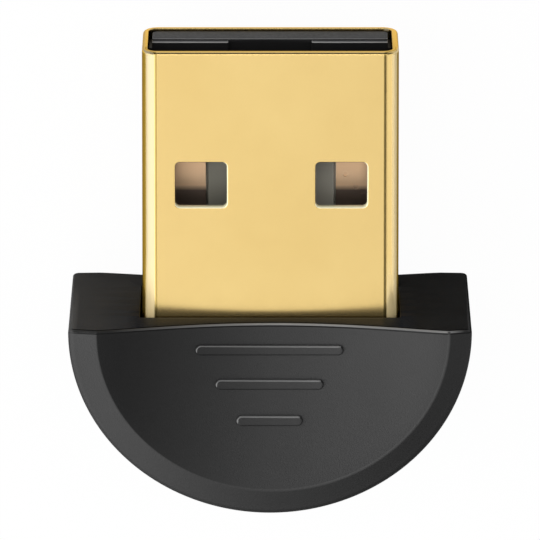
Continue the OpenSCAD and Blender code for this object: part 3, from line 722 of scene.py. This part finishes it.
def metal(name, colour, deep, roughness, grain, depth, edge, stretch=(1.0, 1.0, 1.0), vary=0.04, coat=0.0):
    """A plated or bare metal with a drawn grain, faint stains and brighter edges, which are a painted edge highlight.
    """
    material, tree, bsdf = shader(name)
    at = place(tree)
    broad = noise(tree, at, 0.22, 3.0)
    drawn = noise(tree, place(tree, stretch), grain, 4.0, 0.65)
    base = blend(tree, ramp(tree, broad, 0.0, 1.0, 0.32, 0.7), colour, deep)
    streaked = blend(tree, ramp(tree, drawn, 0.0, 0.3, 0.5, 0.8), base, deep)
    # painted highlight: the rounded edges are blended toward the brighter edge colour
    edge_highlighted = blend(tree, math_node(tree, "MULTIPLY", edge_mask(tree, 0.1), 0.6), streaked, edge)
    tree.links.new(edge_highlighted, bsdf.inputs["Base Color"])
    bsdf.inputs["Metallic"].default_value = 1.0
    bsdf.inputs["Coat Weight"].default_value = coat
    bsdf.inputs["Coat Roughness"].default_value = 0.12
    rough = math_node(tree, "ADD", ramp(tree, drawn, -vary, vary, 0.3, 0.7),
                      ramp(tree, broad, roughness - vary, roughness + vary, 0.3, 0.7))
    tree.links.new(rough, bsdf.inputs["Roughness"])
    bumped(tree, bsdf, drawn, 0.35, depth)
    return material


def set_material(piece, material):
    piece.data.materials.clear()
    piece.data.materials.append(material)


black = plastic("housing_black", (0.008, 0.008, 0.0085), (0.012, 0.012, 0.0125), 0.5, 17.0, 0.022, 0.5)
paint_housing_light(black, 0.5)
gilt = metal("gilt_sheet", (0.85, 0.62, 0.25), (0.82, 0.59, 0.23), 0.24, 12.0, 0.0002, (0.9, 0.7, 0.34), (1, 0.2, 1),
             0.012)
paint_shell_light(gilt)
core_black = plastic("insulator_dark", (0.46, 0.44, 0.375), (0.52, 0.5, 0.43), 0.5, 8.0, 0.006)
shade_tongue(core_black)
copper = metal("contact_copper", (0.6, 0.37, 0.2), (0.56, 0.34, 0.18), 0.32, 10.0, 0.0006, (1.0, 0.85, 0.65),
               (1, 0.15, 1), 0.02)
shade_contact(copper)
tin = metal("solder_tin", (0.62, 0.62, 0.6), (0.48, 0.48, 0.47), 0.32, 6.0, 0.01, (0.8, 0.8, 0.78))
can = metal("crystal_can", (0.66, 0.65, 0.62), (0.55, 0.54, 0.51), 0.28, 9.0, 0.004, (0.85, 0.84, 0.8), (0.2, 1, 1))
epoxy = plastic("chip_epoxy", (0.018, 0.018, 0.019), (0.035, 0.035, 0.036), 0.55, 14.0, 0.012)
laminate = plastic("board_laminate", (0.012, 0.09, 0.035), (0.02, 0.13, 0.05), 0.3, 3.0, 0.008)
tan = plastic("brown_ceramic", (0.36, 0.23, 0.12), (0.45, 0.3, 0.17), 0.4, 10.0, 0.006)
cream = plastic("pale_ceramic", (0.6, 0.56, 0.46), (0.72, 0.68, 0.58), 0.4, 8.0, 0.006)
slate = plastic("dark_ceramic", (0.03, 0.03, 0.032), (0.06, 0.06, 0.065), 0.35, 10.0, 0.006)

set_material(housing, black)
set_material(shell, gilt)
set_material(insulator, core_black)
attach(housing, "root")
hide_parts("housing")
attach(shell, "root")
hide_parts("plug_shell")
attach(insulator, "root")
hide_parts("plug_insulator")


def dress(name, material, width):
    """Gives a carried-over solid its material and slightly rounded edges."""
    piece = nodes[name]
    for slot in piece.material_slots:
        slot.material = material
    weld = piece.modifiers.new("weld", "WELD")
    weld.merge_threshold = 1e-6
    step = piece.modifiers.new("round", "BEVEL")
    step.width = width * MM
    step.segments = 2
    step.limit_method = "ANGLE"
    step.angle_limit = math.radians(35)


for name in ("contact_supply", "contact_data_minus", "contact_data_plus", "contact_ground"):
    dress(name, copper, 0.03)
dress("circuit_board", laminate, 0.02)
dress("radio_chip", epoxy, 0.03)
dress("regulator", epoxy, 0.02)
dress("crystal", can, 0.04)
dress("chip_antenna", cream, 0.02)
for k in range(1, 7):
    dress(f"capacitor_{k}", tan, 0.02)
for k in range(1, 4):
    dress(f"resistor_{k}", slate, 0.02)
dress("inductor", slate, 0.02)
dress("contact_solder", tin, 0.01)
dress("shell_solder", tin, 0.01)


# Floor, light and camera
floor_z = cad_box[0][2]
floor_mesh = bpy.data.meshes.new("floor")
floor_mesh.from_pydata([(-0.6, -0.6, floor_z), (0.6, -0.6, floor_z), (0.6, 0.6, floor_z), (-0.6, 0.6, floor_z)],
                       [], [(0, 1, 2, 3)])
floor = new_object("floor", floor_mesh)
paper, tree, bsdf = shader("floor_paper")
at = place(tree)
bsdf.inputs["Roughness"].default_value = 0.9
path = node(tree, "ShaderNodeLightPath")
shade = blend(tree, noise(tree, at, 0.4), (0.28, 0.28, 0.28), (0.32, 0.32, 0.32))
tree.links.new(blend(tree, path.outputs["Is Camera Ray"], shade, (0.95, 0.95, 0.95)), bsdf.inputs["Base Color"])
mirrored = math_node(tree, "MAXIMUM", path.outputs["Is Glossy Ray"], path.outputs["Is Transmission Ray"])
ahead = parts_of(tree, at)[1]
# painted reflection: for reflected rays only, the floor past the mouth shines white, brightest from about 13 to 14 mm
# out, while the floor near the object shines little
reflection_glow_band = math_node(tree, "SUBTRACT", ramp(tree, ahead, 0.06, 0.95, 11.5, 13.0), ramp(tree, ahead, 0.0, 0.4, 14.2, 15.0))
seen = math_node(tree, "MAXIMUM", path.outputs["Is Camera Ray"], math_node(tree, "MULTIPLY", mirrored, reflection_glow_band))
white = node(tree, "ShaderNodeEmission", {"Color": (1, 1, 1, 1), "Strength": 1.0})
share = math_node(tree, "MULTIPLY", seen, 0.97)
mixed = node(tree, "ShaderNodeMixShader", {0: share, 1: bsdf.outputs[0], 2: white.outputs[0]})
tree.links.new(mixed.outputs[0], tree.nodes["Material Output"].inputs["Surface"])
set_material(floor, paper)

world = bpy.data.worlds.new("studio")
bpy.context.scene.world = world
world.use_nodes = True
background = world.node_tree.nodes["Background"]
background.inputs["Color"].default_value = (1, 1, 1, 1)
background.inputs["Strength"].default_value = 0.12


def softbox(name, turn, lean, width, height, radiance, away=0.4):
    """A flat lamp that faces the object. Seen in a flat face, turn is its angle to the right of the
    reflected camera and lean its angle up the picture; width and height are angles too."""
    up, side = math.radians(lean - 17.8), math.radians(turn)
    back = Vector((math.sin(side), math.cos(side) * math.sin(up), math.cos(side) * math.cos(up)))
    top = Vector((0.0, math.cos(up), -math.sin(up)))
    data = bpy.data.lights.new(name, "AREA")
    data.shape = "RECTANGLE"
    data.size, data.size_y = (2 * away * math.tan(math.radians(v) / 2) for v in (width, height))
    data.energy = radiance * math.pi * data.size * data.size_y
    made = new_object(name, data)
    made.matrix_world = Matrix.Translation(back * away) @ Matrix((top.cross(back), top, back)).transposed().to_4x4()
    return made


softbox("overhead", 0, 0, 20, 70, 0.92)
softbox("left_inner", -31, 0, 40, 70, 1.95)
softbox("left_outer", -76, 0, 50, 60, 1.95)
softbox("right_box", 58, 0, 66, 60, 1.0)
softbox("upper_box", 0, 44, 50, 16, 2.4)

tilt = math.radians(17.816)
distance, aim = 0.3146, 0.001572
camera_data = bpy.data.cameras.new("camera")
camera_data.sensor_width = 36.0
camera_data.lens = 36.0 * 6653.6 / 540.0
camera_data.clip_start = 0.01
camera = new_object("camera", camera_data)
camera.location = (0.0, aim + distance * math.sin(tilt), distance * math.cos(tilt))
camera.rotation_euler = (-tilt, 0.0, 0.0)
bpy.context.scene.camera = camera
bpy.context.scene.view_settings.view_transform = "Standard"
